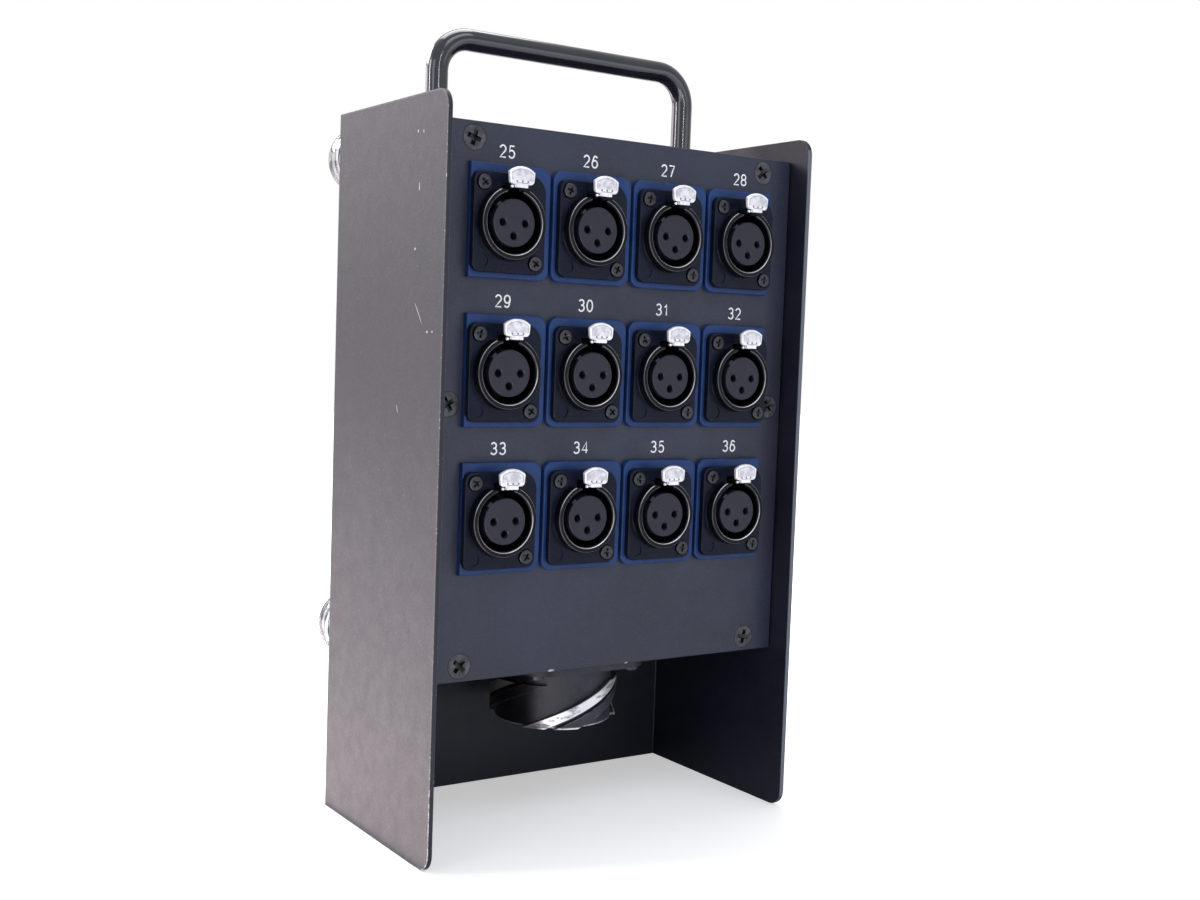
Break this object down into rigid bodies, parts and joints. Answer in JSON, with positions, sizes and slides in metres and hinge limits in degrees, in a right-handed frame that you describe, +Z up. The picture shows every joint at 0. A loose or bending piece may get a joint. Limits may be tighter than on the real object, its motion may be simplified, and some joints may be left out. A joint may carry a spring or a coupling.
{
  "type": "stage box",
  "caption": "Upright steel stage box with numbered panel sockets, press-tab latches, a bar handle on top and a multipin socket underneath.",
  "frame": {"origin": "middle of the whole object's footprint, on the surface it stands on", "axes": "+Z up, +Y from the socket panel to the back, +X to the right as seen from the front"},
  "size_m": [0.145, 0.0958, 0.2691],
  "materials": {
    "black_paint": "fine textured satin black paint over steel sheet",
    "zinc": "zinc-plated steel",
    "black_screw": "black-coated steel screws",
    "blue_plastic": "blue plastic",
    "contact_metal": "plated brass contacts",
    "spring_steel": "spring steel",
    "die_cast_black": "black die-cast zinc, edges worn bright",
    "insert_plastic": "dark grey moulded plastic",
    "bright_latch": "bright satin metal",
    "worn_black_metal": "black coating worn to bare metal on the thread",
    "gasket_rubber": "black rubber",
    "handle_paint": "gloss black paint over a steel bar",
    "clear_rubber": "clear soft bumper",
    "cable_jacket": "black cable jacket",
    "nylon": "natural nylon"
  },
  "bodies": {
    "root": {"chassis_shell": "black_paint", "top_plate": "black_paint", "bottom_plate": "black_paint", "side_brackets": "black_paint", "clinch_nuts": "zinc", "front_panel": "black_paint", "panel_screws": "black_screw", "coding_plates": "blue_plastic", "xlr_contacts": "contact_metal", "latch_springs": "spring_steel", "xlr_screws": "black_screw", "multipin_shell": "worn_black_metal", "multipin_insert": "insert_plastic", "multipin_pins": "contact_metal", "multipin_gasket": "gasket_rubber", "multipin_screws": "black_screw", "multipin_nuts": "zinc", "handle": "handle_paint", "handle_screws": "zinc", "rear_feet": "clear_rubber", "channel_cables": "cable_jacket", "cable_ties": "nylon", "ground_lead": "cable_jacket", "earth_stud": "zinc", "xlr_shell_25": "die_cast_black", "xlr_insert_25": "insert_plastic", "xlr_shell_26": "die_cast_black", "xlr_insert_26": "insert_plastic", "xlr_shell_27": "die_cast_black", "xlr_insert_27": "insert_plastic", "xlr_shell_28": "die_cast_black", "xlr_insert_28": "insert_plastic", "xlr_shell_29": "die_cast_black", "xlr_insert_29": "insert_plastic", "xlr_shell_30": "die_cast_black", "xlr_insert_30": "insert_plastic", "xlr_shell_31": "die_cast_black", "xlr_insert_31": "insert_plastic", "xlr_shell_32": "die_cast_black", "xlr_insert_32": "insert_plastic", "xlr_shell_33": "die_cast_black", "xlr_insert_33": "insert_plastic", "xlr_shell_34": "die_cast_black", "xlr_insert_34": "insert_plastic", "xlr_shell_35": "die_cast_black", "xlr_insert_35": "insert_plastic", "xlr_shell_36": "die_cast_black", "xlr_insert_36": "insert_plastic"},
    "tab_25": {"push_tab_25": "bright_latch"},
    "tab_26": {"push_tab_26": "bright_latch"},
    "tab_27": {"push_tab_27": "bright_latch"},
    "tab_28": {"push_tab_28": "bright_latch"},
    "tab_29": {"push_tab_29": "bright_latch"},
    "tab_30": {"push_tab_30": "bright_latch"},
    "tab_31": {"push_tab_31": "bright_latch"},
    "tab_32": {"push_tab_32": "bright_latch"},
    "tab_33": {"push_tab_33": "bright_latch"},
    "tab_34": {"push_tab_34": "bright_latch"},
    "tab_35": {"push_tab_35": "bright_latch"},
    "tab_36": {"push_tab_36": "bright_latch"}
  },
  "joints": [
    {"name": "tab_25_press", "type": "slide", "parent": "root", "child": "tab_25", "axis": [0, 0.9903, 0.1392], "range_m": [0, 0.0024], "stiffness_N_per_m": 900, "springref_m": -0.0022},
    {"name": "tab_26_press", "type": "slide", "parent": "root", "child": "tab_26", "axis": [0, 0.9903, 0.1392], "range_m": [0, 0.0024], "stiffness_N_per_m": 900, "springref_m": -0.0022},
    {"name": "tab_27_press", "type": "slide", "parent": "root", "child": "tab_27", "axis": [0, 0.9903, 0.1392], "range_m": [0, 0.0024], "stiffness_N_per_m": 900, "springref_m": -0.0022},
    {"name": "tab_28_press", "type": "slide", "parent": "root", "child": "tab_28", "axis": [0, 0.9903, 0.1392], "range_m": [0, 0.0024], "stiffness_N_per_m": 900, "springref_m": -0.0022},
    {"name": "tab_29_press", "type": "slide", "parent": "root", "child": "tab_29", "axis": [0, 0.9903, 0.1392], "range_m": [0, 0.0024], "stiffness_N_per_m": 900, "springref_m": -0.0022},
    {"name": "tab_30_press", "type": "slide", "parent": "root", "child": "tab_30", "axis": [0, 0.9903, 0.1392], "range_m": [0, 0.0024], "stiffness_N_per_m": 900, "springref_m": -0.0022},
    {"name": "tab_31_press", "type": "slide", "parent": "root", "child": "tab_31", "axis": [0, 0.9903, 0.1392], "range_m": [0, 0.0024], "stiffness_N_per_m": 900, "springref_m": -0.0022},
    {"name": "tab_32_press", "type": "slide", "parent": "root", "child": "tab_32", "axis": [0, 0.9903, 0.1392], "range_m": [0, 0.0024], "stiffness_N_per_m": 900, "springref_m": -0.0022},
    {"name": "tab_33_press", "type": "slide", "parent": "root", "child": "tab_33", "axis": [0, 0.9903, 0.1392], "range_m": [0, 0.0024], "stiffness_N_per_m": 900, "springref_m": -0.0022},
    {"name": "tab_34_press", "type": "slide", "parent": "root", "child": "tab_34", "axis": [0, 0.9903, 0.1392], "range_m": [0, 0.0024], "stiffness_N_per_m": 900, "springref_m": -0.0022},
    {"name": "tab_35_press", "type": "slide", "parent": "root", "child": "tab_35", "axis": [0, 0.9903, 0.1392], "range_m": [0, 0.0024], "stiffness_N_per_m": 900, "springref_m": -0.0022},
    {"name": "tab_36_press", "type": "slide", "parent": "root", "child": "tab_36", "axis": [0, 0.9903, 0.1392], "range_m": [0, 0.0024], "stiffness_N_per_m": 900, "springref_m": -0.0022}
  ]
}
